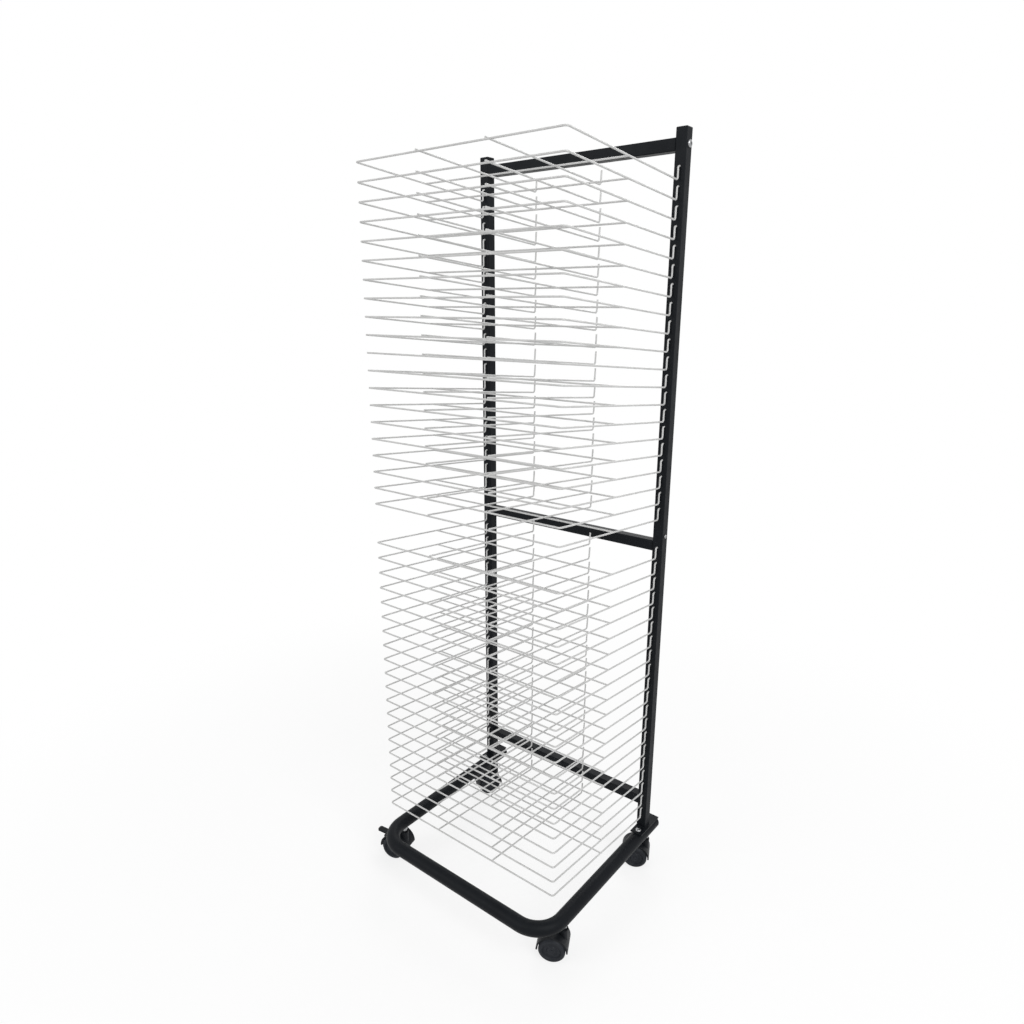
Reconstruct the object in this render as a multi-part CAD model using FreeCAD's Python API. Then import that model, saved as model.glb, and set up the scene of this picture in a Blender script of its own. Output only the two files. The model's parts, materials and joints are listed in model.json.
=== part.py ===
import FreeCAD, Part
import os
from math import asin, cos, degrees, radians, sin, sqrt, tan

from FreeCAD import Rotation, Vector

# Mobile art drying rack. Millimetres. +Z is up, the open front of the shelves faces -Y.
# The origin lies on the floor, under the centre of the base's footprint.

# ---- Driving dimensions ----------------------------------------------------------------
overall_height = 1420.0
base_width = 446.0          # outside of the two side tubes
base_depth = 413.0          # front of the front bar to the back of the end caps

base_tube_diameter = 28.0
base_tube_wall = 1.5
base_bend_radius = 55.0     # to the tube's axis
base_clearance = 71.0       # floor to the underside of the base tube

upright_size = 20.0         # square tube, outside
upright_wall = 1.2
upright_corner_radius = 1.8
smallest_corner = 0.3       # inside a square tube
upright_setback = 42.5      # upright's centre to the back of the base
upright_inset = 2.5         # upright's centre inboard of the side tube's axis
upright_joint_height = 750.0  # where the upper length of an upright stands on the lower one

sleeve_clearance = 0.2
sleeve_wall = 1.5
sleeve_depth_below = 18.0   # reach into the lower length
sleeve_depth_above = 34.0   # reach into the upper length

crossbar_size = 20.0
crossbar_wall = 1.2
crossbar_corner_radius = 1.8
top_crossbar_drop = 25.0    # top of the rack down to the bar's axis
middle_crossbar_height = 719.0
lower_crossbar_height = 164.0
crossbar_plug_length = 14.0

foot_plate_thickness = 2.5
foot_plate_width = 26.0
foot_plate_reach = 24.0     # ahead of the upright; it runs back to the tube's end
foot_clearance = 0.1        # between the plate and the base tube

cap_flange = 2.0
cap_plug_depth = 12.0
cap_clearance = 0.15
cap_rounding = 0.4          # share of a flange's thickness
end_cap_flange = 2.5

crossbar_bolt_radius = 3.0
crossbar_bolt_head_radius = 6.0
crossbar_bolt_head_height = 3.2
sleeve_screw_radius = 2.0
sleeve_screw_head_radius = 3.6
sleeve_screw_head_height = 2.2
sleeve_screw_drop = 12.0    # below the uprights' joint
foot_bolt_radius = 3.0
foot_bolt_head_radius = 6.0
foot_bolt_head_height = 3.4
foot_bolt_length = 12.0
foot_bolt_setback = 14.0    # from the upright's face to the bolt's axis
bolt_hole_clearance = 0.25
crossbar_bolt_end_gap = 2.0  # between the bolt's end and the plug's inner face
sleeve_screw_end = 2.0      # screw's end inside the sleeve's wall
bolt_seat_gap = 0.05
head_rounding = 0.75        # share of a head's height
socket_share = 0.45         # socket's radius and depth, as shares of the head's

shelves_per_bank = 20
shelf_pitch = 30.0
bank_gap = 75.0             # between the two banks, from shelf to shelf
lowest_shelf_height = 126.0
shelf_wire_diameter = 3.0
shelf_depth = 318.0         # from the uprights' face to the front wire's axis, level
shelf_rise_angle = 5.15      # the front stands higher than the back
shelf_corner_radius = 5.0
hook_leg_height = 21.0      # side wire up to the hook's axis in its hole
hook_leg_standoff = 4.0     # leg's axis in front of the upright
hook_bend_radius = 3.0
leg_bend_radius = 4.0
hook_tip_height = 6.0
hook_gap = 0.3              # between the hook's tip and the inside of the wall
hook_hole_radius = 2.5
hook_piece_reach = 10.0     # hook's share of the side wire, in front of the uprights
stop_setback = 16.0         # sheet stops, in front of the uprights
stop_height = 23.0
stop_bend_radius = 4.0
cross_wire_position = 0.5   # share of the shelf's depth
overcut = 1.0               # how far a cutting shape stands past what it cuts
weld_sink = 0.4             # how far crossing wires sink into each other
butt_weld_sink = 0.2        # how far a wire's end sinks into the wire it butts against
inner_wire_overhang = 0.8   # past the front wire's axis

caster_wheel_radius = 25.0
caster_wheel_width = 18.0
caster_wheel_edge = 3.0     # bevel of the tread's edges, and the dish's depth
caster_rim_width = 4.0
caster_rim_slope = 2.0
caster_wheel_hub_radius = 8.0
caster_wheel_hub_drop = 1.0  # hub's face inside the rim's face
caster_wheel_gap = 0.5      # between the wheel and the housing's web
caster_web_width = 10.4
caster_trail = 19.0         # stem's axis to the axle's axis
caster_hood_gap = 1.5
caster_hood_wall = 3.0
caster_hood_inset = 1.5     # hood's sides inside the wheels' outer faces
caster_hood_drop = 1.0      # hood's lower edge below the axle's axis
caster_web_inset = 0.5      # web's edge inside the hood's outside
caster_web_drop = 6.0       # web's lower edge below the axle's axis
caster_web_hub_radius = 9.0
caster_boss_radius = 8.5
caster_boss_top = 61.0
caster_front_setback = 62.5  # stem's axis behind the front bar's axis
caster_rear_setback = 32.5  # stem's axis to the back of the base
caster_axle_radius = 3.0
caster_axle_clearance = 0.15
caster_axle_bore_gap = 0.05  # between the axle and the wheels pressed on it
caster_axle_recess = 0.4     # axle's ends inside the wheels' outer faces
caster_stem_radius = 4.0
caster_stem_clearance = 0.15
caster_stem_reach = 20.0    # up inside the base tube
caster_stem_seat = 20.0     # down inside the boss
caster_stem_end_gap = 0.3   # between the stem and the bottom of its bore
caster_boss_floor = 4.0     # below the stem's bore
caster_nut_radius = 6.6
caster_nut_height = 6.0

# Direction of each caster's trail, seen from above, in degrees from +X.
caster_headings = {
    "front_left": 193.0,
    "front_right": 207.0,
    "rear_left": 240.0,
    "rear_right": 205.0,
}
braked_casters = ("front_left", "rear_left")
lever_hub_radius = 3.2
lever_hub_gap = 0.8         # hub to the wheel's tread
lever_half_width = 9.5      # hub and nose
lever_tab_half_width = 6.5
lever_side_gap = 0.5
lever_ear_width = 3.2
lever_angle = 38.0          # hub's place on the hood, above the axle
lever_tab_length = 25.0
lever_tab_thickness = 3.4
lever_tab_tilt = 6.0        # tab above level when the brake is off
lever_tip_radius = 4.0
lever_notch_gap = 2.0       # round the hub, in the hood
lever_nose_reach = 2.7      # hub's axis to the nose's axis
lever_nose_radius = 1.0
lever_nose_lead = 32.0      # nose's place past the line to the axle, in degrees
lever_pin_radius = 1.5
lever_pin_clearance = 0.15

# ---- Worked out from the driving dimensions ----------------------------------------------
base_radius = base_tube_diameter / 2
base_axis_x = base_width / 2 - base_radius
base_axis_z = base_clearance + base_radius
base_front_y = -base_depth / 2 + base_radius
base_back_y = base_depth / 2
tube_end_y = base_back_y - end_cap_flange

upright_half = upright_size / 2
upright_y = base_back_y - upright_setback
upright_face_y = upright_y - upright_half
upright_top = overall_height - cap_flange
upright_x = base_axis_x - upright_inset
foot_plate_low = base_clearance + base_tube_diameter + foot_clearance
foot_plate_top = foot_plate_low + foot_plate_thickness

top_crossbar_height = overall_height - top_crossbar_drop
crossbar_length = 2 * (upright_x - upright_half)

wire_radius = shelf_wire_diameter / 2
side_wire_x = upright_x
inner_wire_x = side_wire_x / 3
rise = tan(radians(shelf_rise_angle))


def shelf_heights():
    """Heights of the side wires at the back of every shelf, top shelf first."""
    lower = [lowest_shelf_height + shelf_pitch * i for i in range(shelves_per_bank)]
    upper = [lower[-1] + bank_gap + shelf_pitch * i for i in range(shelves_per_bank)]
    return list(reversed(lower + upper))


def hook_heights():
    return [height + hook_leg_height for height in shelf_heights()]


# ---- Small helpers -------------------------------------------------------------------------
def box(x0, x1, y0, y1, z0, z1):
    return Part.makeBox(x1 - x0, y1 - y0, z1 - z0, Vector(x0, y0, z0))


def cylinder(radius, start, direction, length):
    return Part.makeCylinder(radius, length, start, direction)


def rounded_path(points, radii):
    """Wire of straight runs through the points, with an arc at each inner point."""
    edges = []
    start = points[0]
    for before, corner, after, radius in zip(points, points[1:], points[2:], radii):
        into = (corner - before).normalize()
        out = (after - corner).normalize()
        turn = into.getAngle(out)
        setback = radius * tan(turn / 2)
        enter = corner - into * setback
        leave = corner + out * setback
        bisector = (out - into).normalize()
        centre = corner + bisector * (radius / cos(turn / 2))
        middle = centre - bisector * radius
        edges.append(Part.LineSegment(start, enter).toShape())
        edges.append(Part.Arc(enter, middle, leave).toShape())
        start = leave
    edges.append(Part.LineSegment(start, points[-1]).toShape())
    return Part.Wire(edges)


def round_bar(points, radii, radius):
    """Round bar or wire along a rounded path."""
    path = rounded_path(points, radii)
    direction = (points[1] - points[0]).normalize()
    profile = Part.Wire(Part.Circle(points[0], direction, radius).toShape())
    return path.makePipeShell([profile], True, False)


def square_bar(size, corner, start, direction, length):
    """Square bar with rounded corners, along X or Z."""
    bar = box(-size / 2, size / 2, -size / 2, size / 2, 0, length)
    long_edges = [edge for edge in bar.Edges
                  if abs(edge.tangentAt(edge.FirstParameter).z) > 0.99]
    bar = bar.makeFillet(corner, long_edges)
    bar.Placement = FreeCAD.Placement(start, Rotation(Vector(0, 0, 1), direction))
    return bar


def inner_corner(corner, wall):
    return max(corner - wall, smallest_corner)


def square_tube(size, wall, corner, start, direction, length):
    outside = square_bar(size, corner, start, direction, length)
    inside = square_bar(size - 2 * wall, inner_corner(corner, wall), start, direction, length)
    return outside.cut(inside)


def hexagon(radius, z0, height, centre):
    corners = [centre + Vector(radius * cos(radians(60 * k)), radius * sin(radians(60 * k)), 0)
               for k in range(7)]
    for corner in corners:
        corner.z = z0
    return Part.Face(Part.makePolygon(corners)).extrude(Vector(0, 0, height))


def one_solid(shape):
    """The single solid that a boolean leaves, without its compound and seams."""
    return shape.removeSplitter().Solids[0]


def export(name, solids):
    shape = solids[0] if len(solids) == 1 else Part.makeCompound(solids)
    shape.exportStep(f"parts/{name}.step")


# ---- Casters: places and headings ------------------------------------------------------------
def stem_places():
    front_y = base_front_y + caster_front_setback
    rear_y = base_back_y - caster_rear_setback
    return {
        "front_left": Vector(-base_axis_x, front_y, 0),
        "front_right": Vector(base_axis_x, front_y, 0),
        "rear_left": Vector(-base_axis_x, rear_y, 0),
        "rear_right": Vector(base_axis_x, rear_y, 0),
    }


def placed_on_stem(shape, name):
    """A caster piece, modelled with its stem's axis on Z and its trail along +X."""
    turned = shape.copy()
    turned.rotate(Vector(0, 0, 0), Vector(0, 0, 1), caster_headings[name])
    turned.translate(stem_places()[name])
    return turned


# ---- Base --------------------------------------------------------------------------------------
def base_tube():
    """U-shaped tube, open at the back, with its holes for stems and foot bolts."""
    points = [
        Vector(-base_axis_x, tube_end_y, base_axis_z),
        Vector(-base_axis_x, base_front_y, base_axis_z),
        Vector(base_axis_x, base_front_y, base_axis_z),
        Vector(base_axis_x, tube_end_y, base_axis_z),
    ]
    radii = [base_bend_radius, base_bend_radius]
    outside = round_bar(points, radii, base_radius)
    inside = round_bar(points, radii, base_radius - base_tube_wall)
    tube = outside.cut(inside)
    for place in stem_places().values():
        tube = tube.cut(cylinder(caster_stem_radius + caster_stem_clearance,
                                 Vector(place.x, place.y, base_clearance - overcut),
                                 Vector(0, 0, 1), base_radius))
    for x, y in foot_bolt_places():
        tube = tube.cut(cylinder(foot_bolt_radius + bolt_hole_clearance,
                                 Vector(x, y, base_axis_z), Vector(0, 0, 1), base_tube_diameter))
    return one_solid(tube)


def end_cap(x):
    """Round plastic plug in the back end of a side tube."""
    plug_radius = base_radius - base_tube_wall - cap_clearance
    flange = cylinder(base_radius, Vector(x, tube_end_y, base_axis_z),
                      Vector(0, 1, 0), end_cap_flange)
    rim = [edge for edge in flange.Edges
           if len(edge.Vertexes) == 1 and abs(edge.CenterOfMass.y - base_back_y) < 0.01]
    flange = flange.makeFillet(end_cap_flange * cap_rounding, rim)
    plug = cylinder(plug_radius, Vector(x, tube_end_y - cap_plug_depth, base_axis_z),
                    Vector(0, 1, 0), cap_plug_depth)
    return one_solid(flange.fuse(plug))


# ---- Uprights ------------------------------------------------------------------------------------
def foot_bolt_places():
    """One bolt through the foot plate in front of each upright."""
    return [(side * base_axis_x, upright_face_y - foot_bolt_setback) for side in (-1, 1)]


def foot_plate(x):
    """Flat plate on top of the base tube, welded under an upright."""
    half = foot_plate_width / 2
    return box(x - half, x + half, upright_face_y - foot_plate_reach, tube_end_y,
               foot_plate_low, foot_plate_top)


def hook_hole_cutters(x, low, high):
    """Round holes through the front wall, one for each hook between two heights."""
    return [cylinder(hook_hole_radius, Vector(x, upright_face_y - overcut, z), Vector(0, 1, 0),
                     upright_wall + 2 * overcut)
            for z in hook_heights() if low < z < high]


def lower_upright(side):
    x = side * upright_x
    start_z = foot_plate_top - foot_plate_thickness / 2
    tube = square_tube(upright_size, upright_wall, upright_corner_radius,
                       Vector(x, upright_y, start_z), Vector(0, 0, 1),
                       upright_joint_height - start_z)
    upright = tube.fuse(foot_plate(side * base_axis_x))
    cutters = hook_hole_cutters(x, start_z, upright_joint_height)
    screw_z = upright_joint_height - sleeve_screw_drop
    cutters.append(cylinder(sleeve_screw_radius + bolt_hole_clearance,
                            Vector(x + side * (upright_half - 2 * upright_wall), upright_y,
                                   screw_z),
                            Vector(side, 0, 0), 4 * upright_wall))
    for bolt_x, bolt_y in foot_bolt_places():
        if bolt_x * side > 0:
            cutters.append(cylinder(foot_bolt_radius + bolt_hole_clearance,
                                    Vector(bolt_x, bolt_y, base_axis_z), Vector(0, 0, 1),
                                    base_tube_diameter))
    return one_solid(upright.cut(Part.makeCompound(cutters)))


def upper_upright(side):
    x = side * upright_x
    tube = square_tube(upright_size, upright_wall, upright_corner_radius,
                       Vector(x, upright_y, upright_joint_height), Vector(0, 0, 1),
                       upright_top - upright_joint_height)
    cutters = hook_hole_cutters(x, upright_joint_height, upright_top)
    cutters.append(cylinder(crossbar_bolt_radius + bolt_hole_clearance,
                            Vector(x - upright_size, upright_y, top_crossbar_height),
                            Vector(1, 0, 0), 2 * upright_size))
    return one_solid(tube.cut(Part.makeCompound(cutters)))


def upright_sleeve(side):
    """Square sleeve inside an upright, joining its two lengths."""
    size = upright_size - 2 * upright_wall - 2 * sleeve_clearance
    x = side * upright_x
    low = upright_joint_height - sleeve_depth_below
    corner = inner_corner(upright_corner_radius, upright_wall) + sleeve_clearance
    tube = square_tube(size, sleeve_wall, corner, Vector(x, upright_y, low), Vector(0, 0, 1),
                       sleeve_depth_below + sleeve_depth_above)
    screw = cylinder(sleeve_screw_radius + bolt_seat_gap,
                     Vector(x, upright_y, upright_joint_height - sleeve_screw_drop),
                     Vector(side, 0, 0), upright_size)
    return one_solid(tube.cut(screw))


def upright_cap(side):
    """Square plastic plug in the top of an upright."""
    x = side * upright_x
    up = Vector(0, 0, 1)
    flange = square_bar(upright_size, upright_corner_radius,
                        Vector(x, upright_y, upright_top), up, cap_flange)
    rim = [edge for edge in flange.Edges if edge.BoundBox.ZMin > overall_height - 0.01]
    flange = flange.makeChamfer(cap_flange * cap_rounding, rim)
    corner = inner_corner(upright_corner_radius, upright_wall) + cap_clearance
    plug = square_bar(upright_size - 2 * upright_wall - 2 * cap_clearance, corner,
                      Vector(x, upright_y, upright_top - cap_plug_depth), up, cap_plug_depth)
    return one_solid(flange.fuse(plug))


# ---- Crossbars --------------------------------------------------------------------------------
def crossbar(height):
    return square_tube(crossbar_size, crossbar_wall, crossbar_corner_radius,
                       Vector(-crossbar_length / 2, upright_y, height), Vector(1, 0, 0),
                       crossbar_length)


def top_crossbar():
    """Bar with a threaded plug welded into each end, for the bolts through the uprights."""
    bar = crossbar(top_crossbar_height)
    half = crossbar_size / 2 - crossbar_wall / 2
    for side in (-1, 1):
        outer = side * crossbar_length / 2
        inner = outer - side * crossbar_plug_length
        bar = bar.fuse(box(min(outer, inner), max(outer, inner), upright_y - half,
                           upright_y + half, top_crossbar_height - half,
                           top_crossbar_height + half))
        bar = bar.cut(cylinder(crossbar_bolt_radius + bolt_seat_gap,
                               Vector(outer - side * crossbar_plug_length, upright_y,
                                      top_crossbar_height),
                               Vector(side, 0, 0), crossbar_plug_length))
    return one_solid(bar)


# ---- Fasteners ----------------------------------------------------------------------------------
def button_head(seat, direction, radius, height):
    """Rounded head with a blind socket, its flat side on the seat."""
    disc = cylinder(radius, seat, direction, height)
    top = seat + direction * height
    rim = [edge for edge in disc.Edges
           if edge.Closed and edge.CenterOfMass.distanceToPoint(top) < radius / 2]
    head = disc.makeFillet(height * head_rounding, rim)
    depth = height * socket_share
    socket = cylinder(radius * socket_share, top - direction * depth, direction, depth)
    return head.cut(socket)


def bolt(seat, direction, radius, length, head_radius, head_height):
    """Button-head bolt: the head stands out along direction, the shank goes the other way."""
    shank = cylinder(radius, seat - direction * length, direction, length)
    head = button_head(seat, direction, head_radius, head_height)
    return one_solid(head.fuse(shank))


def crossbar_bolt(side):
    seat = Vector(side * (upright_x + upright_half + bolt_seat_gap), upright_y,
                  top_crossbar_height)
    length = upright_size + crossbar_plug_length - crossbar_bolt_end_gap
    return bolt(seat, Vector(side, 0, 0), crossbar_bolt_radius, length,
                crossbar_bolt_head_radius, crossbar_bolt_head_height)


def sleeve_screw(side):
    seat = Vector(side * (upright_x + upright_half + bolt_seat_gap), upright_y,
                  upright_joint_height - sleeve_screw_drop)
    length = upright_wall + sleeve_clearance + sleeve_wall + sleeve_screw_end
    return bolt(seat, Vector(side, 0, 0), sleeve_screw_radius, length,
                sleeve_screw_head_radius, sleeve_screw_head_height)


def foot_bolt(x, y):
    seat = Vector(x, y, foot_plate_top + bolt_seat_gap)
    return bolt(seat, Vector(0, 0, 1), foot_bolt_radius, foot_bolt_length,
                foot_bolt_head_radius, foot_bolt_head_height)


# ---- Shelves --------------------------------------------------------------------------------------
def shelf_point(reach, height, x):
    """Point on a shelf: reach in front of the uprights' face, height at the uprights' face."""
    return Vector(x, upright_face_y - reach, height + reach * rise)


def outer_wire(height):
    """Side wires, front wire and both hooks, bent from one length.

    The frame-shaped run and the two hooks are solids that meet face to face.
    """
    tip_y = upright_face_y + upright_wall + hook_gap + wire_radius
    hook_z = height + hook_leg_height

    def hook(x):
        return [
            Vector(x, tip_y, hook_z + hook_tip_height),
            Vector(x, tip_y, hook_z),
            Vector(x, upright_face_y - hook_leg_standoff, hook_z),
            shelf_point(hook_leg_standoff, height, x),
            shelf_point(shelf_depth, height, x),
        ]

    points = hook(-side_wire_x) + list(reversed(hook(side_wire_x)))
    bends = [hook_bend_radius, hook_bend_radius, leg_bend_radius, shelf_corner_radius]
    wire = round_bar(points, bends + list(reversed(bends)), wire_radius)
    hooks_y = upright_face_y - hook_piece_reach
    behind = box(-base_width, base_width, hooks_y, hooks_y + 2 * upright_size,
                 height - shelf_pitch, height + shelf_pitch)
    return wire.cut(behind).Solids + wire.common(behind).Solids


def inner_wire(height, x):
    """Long wire lying on the front and cross wires, its back end bent up as a sheet stop."""
    height = height + shelf_wire_diameter - weld_sink
    bottom = shelf_point(stop_setback, height, x)
    lean = Vector(0, sin(radians(shelf_rise_angle)), cos(radians(shelf_rise_angle)))
    points = [
        bottom + lean * stop_height,
        bottom,
        shelf_point(shelf_depth + inner_wire_overhang, height, x),
    ]
    return round_bar(points, [stop_bend_radius], wire_radius)


def cross_wire(height):
    """Straight wire between the side wires, welded to them end on."""
    half = side_wire_x - wire_radius + butt_weld_sink
    start = shelf_point(shelf_depth * cross_wire_position, height, -half)
    return cylinder(wire_radius, start, Vector(1, 0, 0), 2 * half)


def shelf(height):
    """The four wires of one welded shelf, the outer one as three solids."""
    inner = [inner_wire(height, x) for x in (-inner_wire_x, inner_wire_x)]
    return outer_wire(height) + inner + [cross_wire(height)]


# ---- Casters ---------------------------------------------------------------------------------------
wheel_inner_y = caster_web_width / 2 + caster_wheel_gap
wheel_outer_y = wheel_inner_y + caster_wheel_width
hood_inner_radius = caster_wheel_radius + caster_hood_gap
hood_outer_radius = hood_inner_radius + caster_hood_wall
axle_centre = Vector(caster_trail, 0, caster_wheel_radius)
lever_hub_distance = caster_wheel_radius + lever_hub_gap + lever_hub_radius
lever_centre = axle_centre + Vector(lever_hub_distance * cos(radians(lever_angle)), 0,
                                    lever_hub_distance * sin(radians(lever_angle)))


def along_axle(radius, centre, low_y, high_y):
    return cylinder(radius, Vector(centre.x, low_y, centre.z), Vector(0, 1, 0), high_y - low_y)


def wheel():
    """One wheel of the pair, on the +Y side: rounded tread, dished face and a hub."""
    r = caster_wheel_radius
    y0, y1 = wheel_inner_y, wheel_outer_y
    edge = caster_wheel_edge
    rim = r - edge - caster_rim_width
    hub = caster_wheel_hub_radius
    hub_y = y1 - caster_wheel_hub_drop
    bore = caster_axle_radius + caster_axle_bore_gap
    profile = [
        (bore, y0), (r - edge, y0), (r, y0 + edge), (r, y1 - edge), (r - edge, y1),
        (rim, y1), (rim - caster_rim_slope, y1 - edge),
        (hub + caster_rim_slope, y1 - edge), (hub, hub_y), (bore, hub_y),
    ]
    outline = [Vector(caster_trail + radius, y, caster_wheel_radius) for radius, y in profile]
    face = Part.Face(Part.makePolygon(outline + [outline[0]]))
    return face.revolve(axle_centre, Vector(0, 1, 0), 360).Solids[0]


def mirrored(shape):
    return shape.mirror(Vector(0, 0, 0), Vector(0, 1, 0))


def axle():
    reach = wheel_outer_y - caster_axle_recess
    return along_axle(caster_axle_radius, axle_centre, -reach, reach)


def hood():
    """Half ring over both wheels, open below and at its sides."""
    half = wheel_outer_y - caster_hood_inset
    ring = along_axle(hood_outer_radius, axle_centre, -half, half)
    ring = ring.cut(along_axle(hood_inner_radius, axle_centre, -half, half))
    above = box(caster_trail - 2 * hood_outer_radius, caster_trail + 2 * hood_outer_radius,
                -half, half, caster_wheel_radius - caster_hood_drop, 2 * hood_outer_radius)
    return ring.common(above)


def web():
    """Middle wall between the wheels, from the hood down round the axle."""
    half = caster_web_width / 2
    disc = along_axle(hood_outer_radius - caster_web_inset, axle_centre, -half, half)
    above = box(caster_trail - 2 * hood_outer_radius, caster_trail + 2 * hood_outer_radius,
                -half, half, caster_wheel_radius - caster_web_drop, 2 * hood_outer_radius)
    return disc.common(above).fuse(along_axle(caster_web_hub_radius, axle_centre, -half, half))


def stem_boss():
    """Upright boss over the stem's axis, clear of the treads below it."""
    treads = along_axle(hood_inner_radius, axle_centre, -2 * wheel_outer_y, 2 * wheel_outer_y)
    low = caster_boss_top - caster_stem_seat - caster_boss_floor
    boss = cylinder(caster_boss_radius, Vector(0, 0, low), Vector(0, 0, 1),
                    caster_boss_top - low)
    return boss.cut(treads)


def brake_ears():
    inner = lever_half_width + lever_side_gap
    ears = []
    for low in (inner, -inner - lever_ear_width):
        ears.append(along_axle(lever_hub_radius, lever_centre, low, low + lever_ear_width))
    return ears


def caster_housing(braked):
    body = hood().multiFuse([web(), stem_boss()])
    if braked:
        body = body.multiFuse(brake_ears())
        inner = lever_half_width + lever_side_gap
        body = body.cut(along_axle(lever_hub_radius + lever_notch_gap, lever_centre,
                                   -inner, inner))
        reach = inner + lever_ear_width
        body = body.cut(along_axle(lever_pin_radius + lever_pin_clearance, lever_centre,
                                   -reach, reach))
    body = body.cut(along_axle(caster_axle_radius + caster_axle_clearance, axle_centre,
                               -wheel_outer_y, wheel_outer_y))
    body = body.cut(cylinder(caster_stem_radius + caster_stem_clearance,
                             Vector(0, 0, caster_boss_top - caster_stem_seat),
                             Vector(0, 0, 1), caster_stem_seat + overcut))
    return one_solid(body)


def brake_lever():
    """Foot lever on two trunnions, with a cam nose that comes down on the treads."""
    hub = along_axle(lever_hub_radius, lever_centre, -lever_half_width, lever_half_width)
    reach = lever_half_width + lever_side_gap + lever_ear_width - lever_pin_clearance
    pin = along_axle(lever_pin_radius, lever_centre, -reach, reach)
    tab = box(0, lever_tab_length, -lever_tab_half_width, lever_tab_half_width,
              -lever_tab_thickness / 2, lever_tab_thickness / 2)
    tip = [edge for edge in tab.Edges
           if edge.CenterOfMass.x > lever_tab_length - 0.01
           and abs(edge.tangentAt(edge.FirstParameter).z) > 0.99]
    tab = tab.makeFillet(lever_tip_radius, tip)
    tab.rotate(Vector(0, 0, 0), Vector(0, 1, 0), -lever_tab_tilt)
    tab.translate(lever_centre)
    nose_angle = radians(180 + lever_angle + lever_nose_lead)
    nose_centre = lever_centre + Vector(lever_nose_reach * cos(nose_angle), 0,
                                        lever_nose_reach * sin(nose_angle))
    nose = along_axle(lever_nose_radius, nose_centre, -lever_half_width, lever_half_width)
    return one_solid(hub.multiFuse([pin, tab, nose]))


def caster_stem(place):
    """Threaded stem with its lock nut under the base tube."""
    low = caster_boss_top - caster_stem_seat + caster_stem_end_gap
    stem = cylinder(caster_stem_radius, Vector(place.x, place.y, low), Vector(0, 0, 1),
                    base_clearance + caster_stem_reach - low)
    nut = hexagon(caster_nut_radius, base_clearance - caster_nut_height - bolt_seat_gap,
                  caster_nut_height, place)
    return one_solid(stem.fuse(nut))


# ---- Write every node --------------------------------------------------------------------------
def build():
    os.makedirs("parts", exist_ok=True)
    sides = (-1, 1)
    export("base_tube", [base_tube()])
    export("left_upright", [lower_upright(-1), upper_upright(-1)])
    export("right_upright", [lower_upright(1), upper_upright(1)])
    export("upright_sleeves", [upright_sleeve(side) for side in sides])
    export("top_crossbar", [top_crossbar()])
    export("middle_crossbar", [crossbar(middle_crossbar_height)])
    export("lower_crossbar", [crossbar(lower_crossbar_height)])
    export("tube_caps", [upright_cap(side) for side in sides]
           + [end_cap(side * base_axis_x) for side in sides])
    export("frame_bolts", [crossbar_bolt(side) for side in sides]
           + [sleeve_screw(side) for side in sides]
           + [foot_bolt(x, y) for x, y in foot_bolt_places()])
    export("caster_stems", [caster_stem(place) for place in stem_places().values()])

    wheels = [wheel(), mirrored(wheel()), axle()]
    for name in stem_places():
        braked = name in braked_casters
        export(f"{name}_caster_housing", [placed_on_stem(caster_housing(braked), name)])
        export(f"{name}_caster_wheels", [placed_on_stem(solid, name) for solid in wheels])
        if braked:
            export(f"{name}_brake_lever", [placed_on_stem(brake_lever(), name)])

    for number, height in enumerate(shelf_heights(), start=1):
        export(f"shelf_{number:02d}", shelf(height))


build()
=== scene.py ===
"""Looks of the mobile art drying rack: finishes, weld beads, light and the camera. Metres."""

import json
import math
import random

import bmesh
import bpy
from mathutils import Matrix, Vector

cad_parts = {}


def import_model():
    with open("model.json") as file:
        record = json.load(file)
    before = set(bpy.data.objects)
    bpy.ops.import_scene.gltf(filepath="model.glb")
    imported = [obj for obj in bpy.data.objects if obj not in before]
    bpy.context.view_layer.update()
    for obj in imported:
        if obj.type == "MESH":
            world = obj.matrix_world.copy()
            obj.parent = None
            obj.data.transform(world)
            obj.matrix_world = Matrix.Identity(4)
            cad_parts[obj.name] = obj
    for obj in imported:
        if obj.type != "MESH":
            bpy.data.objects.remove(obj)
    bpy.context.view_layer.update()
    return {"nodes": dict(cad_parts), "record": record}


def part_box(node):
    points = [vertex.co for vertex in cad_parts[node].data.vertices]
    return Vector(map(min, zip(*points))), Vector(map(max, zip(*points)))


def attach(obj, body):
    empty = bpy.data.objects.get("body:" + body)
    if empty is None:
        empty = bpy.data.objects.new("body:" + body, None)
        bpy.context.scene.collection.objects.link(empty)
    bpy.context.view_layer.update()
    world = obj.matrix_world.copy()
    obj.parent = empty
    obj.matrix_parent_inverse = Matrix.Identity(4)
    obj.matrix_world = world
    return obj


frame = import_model()

NODES = frame["nodes"]
RECORD = frame["record"]
random.seed(40)

# ---- Sizes that the looks need, in metres ------------------------------------------------
TUBE_BEAD_RADIUS = 0.0011      # weld beads where the square tubes meet
FOOT_BEAD_RADIUS = 0.0013      # weld beads round the uprights' feet
BEAD_PITCH = 0.0022            # ripple length along a bead
BEAD_OVERLAP = 0.95            # a ripple's half length, as a share of the pitch
BEAD_WOBBLE = 0.08             # how much the ripples differ in size
BEAD_SEGMENTS = 10
BEAD_RINGS = 6
BEAD_INSET = 0.0022            # how far a bead stays short of a tube's rounded corner
UPRIGHT_SIDE = 0.020
FOOT_PLATE = 0.0025

# ---- Camera, found from the shelf corners and hooks -----------------------------------------
IMAGE_SIZE = 1024
FOCAL_PIXELS = 739.3
CENTRE_X_PIXEL = 511.94
CENTRE_Y_PIXEL = 528.47
SENSOR = 36.0
CAMERA_PLACE = Vector((0.809, -1.034, 1.148))
CAMERA_YAW = 38.55
CAMERA_PITCH = -16.79
CAMERA_ROLL = 0.03
CLIP_START = 0.02
CLIP_END = 60.0

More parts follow.
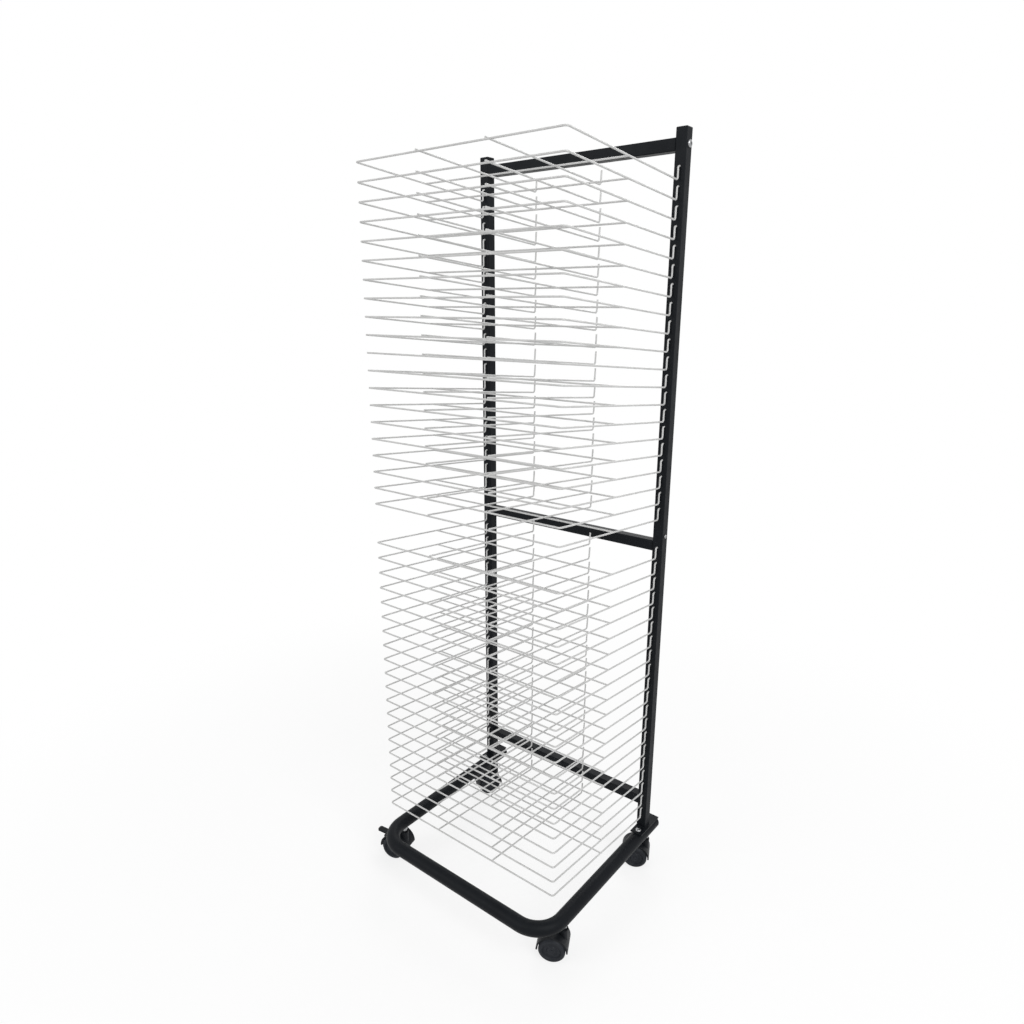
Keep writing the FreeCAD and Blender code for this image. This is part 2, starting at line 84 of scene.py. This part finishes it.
# ---- Studio: places and sizes in metres, power in watts ---------------------------------------
FLOOR_SIZE = 30.0
FLOOR_WHITE = (0.90, 0.90, 0.90)
SHADOW_SHARE = 0.78            # white that a camera sees near the rack, over the lit floor
SHADOW_RADIUS = 0.55           # the shadow shows fully within this distance of the rack
WHITE_RADIUS = 1.60            # beyond this the floor is plain white
SOFT_WORLD = 0.55              # the world's light on the rack
SEEN_WHITE = 1.0               # white as a camera or a mirror sees it
LAMP_TARGET = (0, 0, 0.7)
LAMPS = {
    "key_softbox": {"place": (2.6, -1.0, 2.6), "size": (1.6, 2.2), "power": 62.0},
    "fill_softbox": {"place": (-1.2, -2.8, 2.0), "size": (2.0, 2.0), "power": 26.0},
    "back_softbox": {"place": (-0.8, 2.4, 2.6), "size": (2.0, 1.4), "power": 26.0},
}


# ---- Materials -------------------------------------------------------------------------------
class Graph:
    """Short calls for building a material's nodes."""

    def __init__(self, name):
        self.material = bpy.data.materials.new(name)
        self.material.use_nodes = True
        self.nodes = self.material.node_tree.nodes
        self.links = self.material.node_tree.links
        self.nodes.clear()
        self.output = self.nodes.new("ShaderNodeOutputMaterial")
        self.shader = self.nodes.new("ShaderNodeBsdfPrincipled")
        self.links.new(self.shader.outputs["BSDF"], self.output.inputs["Surface"])
        self.place = self.nodes.new("ShaderNodeTexCoord").outputs["Object"]

    def noise(self, scale, detail=3.0, roughness=0.5, stretch=(1, 1, 1)):
        mapping = self.nodes.new("ShaderNodeMapping")
        mapping.inputs["Scale"].default_value = stretch
        self.links.new(self.place, mapping.inputs["Vector"])
        noise = self.nodes.new("ShaderNodeTexNoise")
        noise.inputs["Scale"].default_value = scale
        noise.inputs["Detail"].default_value = detail
        noise.inputs["Roughness"].default_value = roughness
        self.links.new(mapping.outputs["Vector"], noise.inputs["Vector"])
        return noise.outputs["Fac"]

    def voronoi(self, scale):
        cells = self.nodes.new("ShaderNodeTexVoronoi")
        cells.inputs["Scale"].default_value = scale
        self.links.new(self.place, cells.inputs["Vector"])
        return cells.outputs["Distance"]

    def spread(self, value, low, high, low_in=0.3, high_in=0.7):
        """Maps a texture's value to a range."""
        node = self.nodes.new("ShaderNodeMapRange")
        node.inputs["From Min"].default_value = low_in
        node.inputs["From Max"].default_value = high_in
        node.inputs["To Min"].default_value = low
        node.inputs["To Max"].default_value = high
        self.links.new(value, node.inputs["Value"])
        return node.outputs["Result"]

    def ramp(self, value, low, high, low_at=0.3, high_at=0.7):
        """Blends from one colour to another as a texture's value rises."""
        node = self.nodes.new("ShaderNodeValToRGB")
        node.color_ramp.elements[0].position = low_at
        node.color_ramp.elements[0].color = (*low, 1)
        node.color_ramp.elements[1].position = high_at
        node.color_ramp.elements[1].color = (*high, 1)
        self.links.new(value, node.inputs["Fac"])
        return node.outputs["Color"]

    def bump(self, height, strength, distance, under=None):
        node = self.nodes.new("ShaderNodeBump")
        node.inputs["Strength"].default_value = strength
        node.inputs["Distance"].default_value = distance
        self.links.new(height, node.inputs["Height"])
        if under is not None:
            self.links.new(under, node.inputs["Normal"])
        return node.outputs["Normal"]

    def link(self, value, socket):
        self.links.new(value, self.shader.inputs[socket])

    def set(self, socket, value):
        self.shader.inputs[socket].default_value = value


def black_powder_coat():
    """Satin black powder coat: fine orange peel, faint dust and handling marks."""
    g = Graph("black_powder_coat")
    cloud = g.noise(14.0, 4.0, 0.6)
    g.link(g.ramp(cloud, (0.0058, 0.0069, 0.0086), (0.0086, 0.0100, 0.0122)), "Base Color")
    g.link(g.spread(g.noise(55.0, 5.0, 0.65), 0.38, 0.52), "Roughness")
    peel = g.bump(g.noise(900.0, 2.0, 0.5), 0.22, 0.0004)
    grit = g.bump(g.voronoi(2600.0), 0.10, 0.0002, peel)
    g.link(grit, "Normal")
    g.set("Specular IOR Level", 0.08)
    return g.material


def white_powder_coat():
    """White powder coat on drawn wire: slightly uneven film, a little shade where it thins."""
    g = Graph("white_wire_coat")
    film = g.noise(26.0, 3.0, 0.6)
    g.link(g.ramp(film, (0.455, 0.455, 0.450), (0.535, 0.535, 0.530)), "Base Color")
    g.link(g.spread(g.noise(120.0, 3.0, 0.5), 0.30, 0.42), "Roughness")
    peel = g.bump(g.noise(1400.0, 2.0, 0.5), 0.18, 0.0003)
    g.link(peel, "Normal")
    g.set("Specular IOR Level", 0.5)
    return g.material


def zinc_plate():
    """Bright zinc plating on turned and cold-headed steel."""
    g = Graph("bright_zinc")
    tint = g.noise(160.0, 3.0, 0.6)
    g.link(g.ramp(tint, (0.30, 0.305, 0.31), (0.42, 0.425, 0.43)), "Base Color")
    g.link(g.spread(g.noise(420.0, 4.0, 0.6), 0.26, 0.42), "Roughness")
    turning = g.noise(2200.0, 2.0, 0.5, (0.15, 0.15, 1.0))
    g.link(g.bump(turning, 0.20, 0.0002), "Normal")
    g.set("Metallic", 1.0)
    return g.material


def moulded_plastic(name, dark, light, roughness, grain, specular):
    """Moulded plastic: fine spark-eroded grain and faint flow marks."""
    g = Graph(name)
    flow = g.noise(35.0, 3.0, 0.55, (1.0, 1.0, 0.4))
    g.link(g.ramp(flow, dark, light), "Base Color")
    g.link(g.spread(g.noise(240.0, 4.0, 0.6), *roughness), "Roughness")
    g.link(g.bump(g.noise(grain, 3.0, 0.6), 0.25, 0.0003), "Normal")
    g.set("Specular IOR Level", specular)
    return g.material


def finishes():
    """One material for each of the record's slots."""
    return {
        "black_steel": black_powder_coat(),
        "white_wire": white_powder_coat(),
        "zinc_steel": zinc_plate(),
        "black_cap_plastic": moulded_plastic(
            "cap_plastic", dark=(0.0070, 0.0078, 0.0090), light=(0.0105, 0.0115, 0.0130),
            roughness=(0.45, 0.60), grain=1500.0, specular=0.08),
        "caster_plastic": moulded_plastic(
            "caster_plastic", dark=(0.0075, 0.0086, 0.0105), light=(0.0115, 0.0128, 0.0152),
            roughness=(0.36, 0.48), grain=1300.0, specular=0.10),
        "wheel_plastic": moulded_plastic(
            "wheel_plastic", dark=(0.0155, 0.0175, 0.0215), light=(0.0215, 0.0240, 0.0290),
            roughness=(0.40, 0.55), grain=1100.0, specular=0.12),
        "lever_plastic": moulded_plastic(
            "lever_plastic", dark=(0.0075, 0.0086, 0.0105), light=(0.0115, 0.0128, 0.0152),
            roughness=(0.34, 0.46), grain=1300.0, specular=0.10),
    }


def dress(materials):
    """Gives each CAD node the material of its slot in the record."""
    slot_of = {part["node"]: part["material_slot"] for part in RECORD["subparts"]}
    for name, node in NODES.items():
        material = materials[slot_of[name]]
        if not node.material_slots:
            node.data.materials.append(material)
        for slot in node.material_slots:
            slot.material = material
        node.data.shade_smooth()


# ---- Weld beads --------------------------------------------------------------------------------
def bead(bm, start, end, radius):
    """A rippled weld bead along one straight run."""
    count = max(2, round((end - start).length / BEAD_PITCH))
    along = (end - start).normalized()
    turn = Vector((0, 0, 1)).rotation_difference(along).to_matrix().to_4x4()
    for k in range(count):
        middle = start.lerp(end, (k + 0.5) / count)
        width = radius * (1 + random.uniform(-BEAD_WOBBLE, BEAD_WOBBLE))
        size = Matrix.Diagonal((width, width, BEAD_PITCH * BEAD_OVERLAP, 1))
        bmesh.ops.create_uvsphere(bm, u_segments=BEAD_SEGMENTS, v_segments=BEAD_RINGS, radius=1.0,
                                  matrix=Matrix.Translation(middle) @ turn @ size)


def bead_object(name, runs, radius, material):
    """Several beads as one piece that rides on the frame."""
    bm = bmesh.new()
    for start, end in runs:
        bead(bm, start, end, radius)
    mesh = bpy.data.meshes.new(name)
    bm.to_mesh(mesh)
    bm.free()
    mesh.shade_smooth()
    mesh.materials.append(material)
    obj = bpy.data.objects.new(name, mesh)
    bpy.context.scene.collection.objects.link(obj)
    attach(obj, "frame")


def crossbar_beads(material):
    """Beads along the top and bottom of each welded crossbar's ends."""
    for node in ("middle_crossbar", "lower_crossbar"):
        low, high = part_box(node)
        runs = [(Vector((x, low.y + BEAD_INSET, z)), Vector((x, high.y - BEAD_INSET, z)))
                for x in (low.x, high.x) for z in (low.z, high.z)]
        bead_object(node + "_welds", runs, TUBE_BEAD_RADIUS, material)


def foot_beads(material):
    """Beads in front of, behind and outside each upright, where it stands on its foot plate."""
    low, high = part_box("lower_crossbar")
    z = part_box("base_tube")[1].z + FOOT_PLATE
    for side, inner in (("left", low.x), ("right", high.x)):
        outer = inner + math.copysign(UPRIGHT_SIDE, inner)
        inset = math.copysign(BEAD_INSET, inner)
        runs = [(Vector((inner + inset, y, z)), Vector((outer - inset, y, z)))
                for y in (low.y, high.y)]
        runs.append((Vector((outer, low.y + BEAD_INSET, z)),
                     Vector((outer, high.y - BEAD_INSET, z))))
        bead_object(side + "_foot_welds", runs, FOOT_BEAD_RADIUS, material)


# ---- Studio -------------------------------------------------------------------------------------
def ray_is(nodes, links, *kinds):
    """1 where a ray is of one of these kinds, and 0 elsewhere."""
    rays = nodes.new("ShaderNodeLightPath")
    value = rays.outputs[kinds[0]]
    for kind in kinds[1:]:
        either = nodes.new("ShaderNodeMath")
        either.operation = "MAXIMUM"
        links.new(value, either.inputs[0])
        links.new(rays.outputs[kind], either.inputs[1])
        value = either.outputs["Value"]
    return value


def mix_shaders(nodes, links, factor, first, second):
    mix = nodes.new("ShaderNodeMixShader")
    links.new(factor, mix.inputs["Fac"])
    links.new(first, mix.inputs[1])
    links.new(second, mix.inputs[2])
    return mix.outputs["Shader"]


def studio_white():
    """A floor that keeps the shadow near the rack and is plain white farther off."""
    material = bpy.data.materials.new("studio_floor_white")
    material.use_nodes = True
    nodes, links = material.node_tree.nodes, material.node_tree.links
    nodes.clear()
    diffuse = nodes.new("ShaderNodeBsdfDiffuse")
    diffuse.inputs["Color"].default_value = (*FLOOR_WHITE, 1)
    glow = nodes.new("ShaderNodeEmission")
    glow.inputs["Strength"].default_value = SEEN_WHITE
    place = nodes.new("ShaderNodeTexCoord")
    distance = nodes.new("ShaderNodeVectorMath")
    distance.operation = "LENGTH"
    links.new(place.outputs["Object"], distance.inputs[0])
    share = nodes.new("ShaderNodeMapRange")
    share.interpolation_type = "SMOOTHSTEP"
    share.inputs["From Min"].default_value = SHADOW_RADIUS
    share.inputs["From Max"].default_value = WHITE_RADIUS
    share.inputs["To Min"].default_value = SHADOW_SHARE
    share.inputs["To Max"].default_value = 1.0
    links.new(distance.outputs["Value"], share.inputs["Value"])
    weight = nodes.new("ShaderNodeMath")
    weight.operation = "MULTIPLY"
    links.new(ray_is(nodes, links, "Is Camera Ray", "Is Glossy Ray"), weight.inputs[0])
    links.new(share.outputs["Result"], weight.inputs[1])
    mixed = mix_shaders(nodes, links, weight.outputs["Value"], diffuse.outputs["BSDF"],
                        glow.outputs["Emission"])
    links.new(mixed, nodes.new("ShaderNodeOutputMaterial").inputs["Surface"])
    return material


def floor():
    bpy.ops.mesh.primitive_plane_add(size=FLOOR_SIZE, location=(0, 0, 0))
    plane = bpy.context.object
    plane.name = "studio_floor"
    plane.data.materials.append(studio_white())


def white_background(nodes, strength):
    background = nodes.new("ShaderNodeBackground")
    background.inputs["Color"].default_value = (1, 1, 1, 1)
    background.inputs["Strength"].default_value = strength
    return background.outputs["Background"]


def world():
    """Even soft light from all round, and white where a camera, mirror or glass looks."""
    scene = bpy.context.scene
    scene.world = bpy.data.worlds.new("studio")
    scene.world.use_nodes = True
    nodes, links = scene.world.node_tree.nodes, scene.world.node_tree.links
    nodes.clear()
    seen = ray_is(nodes, links, "Is Camera Ray", "Is Transmission Ray", "Is Glossy Ray")
    mixed = mix_shaders(nodes, links, seen, white_background(nodes, SOFT_WORLD),
                        white_background(nodes, SEEN_WHITE))
    links.new(mixed, nodes.new("ShaderNodeOutputWorld").inputs["Surface"])


def softbox(name, place, size, power):
    light = bpy.data.lights.new(name, "AREA")
    light.shape = "RECTANGLE"
    light.size = size[0]
    light.size_y = size[1]
    light.energy = power
    obj = bpy.data.objects.new(name, light)
    obj.location = place
    aim = Vector(LAMP_TARGET) - Vector(place)
    obj.rotation_euler = aim.to_track_quat("-Z", "Y").to_euler()
    bpy.context.scene.collection.objects.link(obj)


def camera():
    data = bpy.data.cameras.new("photo_camera")
    data.sensor_fit = "HORIZONTAL"
    data.sensor_width = SENSOR
    data.lens = FOCAL_PIXELS / IMAGE_SIZE * SENSOR
    data.shift_x = (IMAGE_SIZE / 2 - CENTRE_X_PIXEL) / IMAGE_SIZE
    data.shift_y = (CENTRE_Y_PIXEL - IMAGE_SIZE / 2) / IMAGE_SIZE
    data.clip_start = CLIP_START
    data.clip_end = CLIP_END
    obj = bpy.data.objects.new("photo_camera", data)
    obj.location = CAMERA_PLACE
    obj.rotation_euler = (math.radians(90 + CAMERA_PITCH), math.radians(CAMERA_ROLL),
                          math.radians(CAMERA_YAW))
    bpy.context.scene.collection.objects.link(obj)
    bpy.context.scene.camera = obj


MATERIALS = finishes()
dress(MATERIALS)
crossbar_beads(MATERIALS["black_steel"])
foot_beads(MATERIALS["black_steel"])
floor()
world()
for lamp_name, lamp in LAMPS.items():
    softbox(lamp_name, **lamp)
camera()
bpy.context.scene.view_settings.view_transform = "Standard"
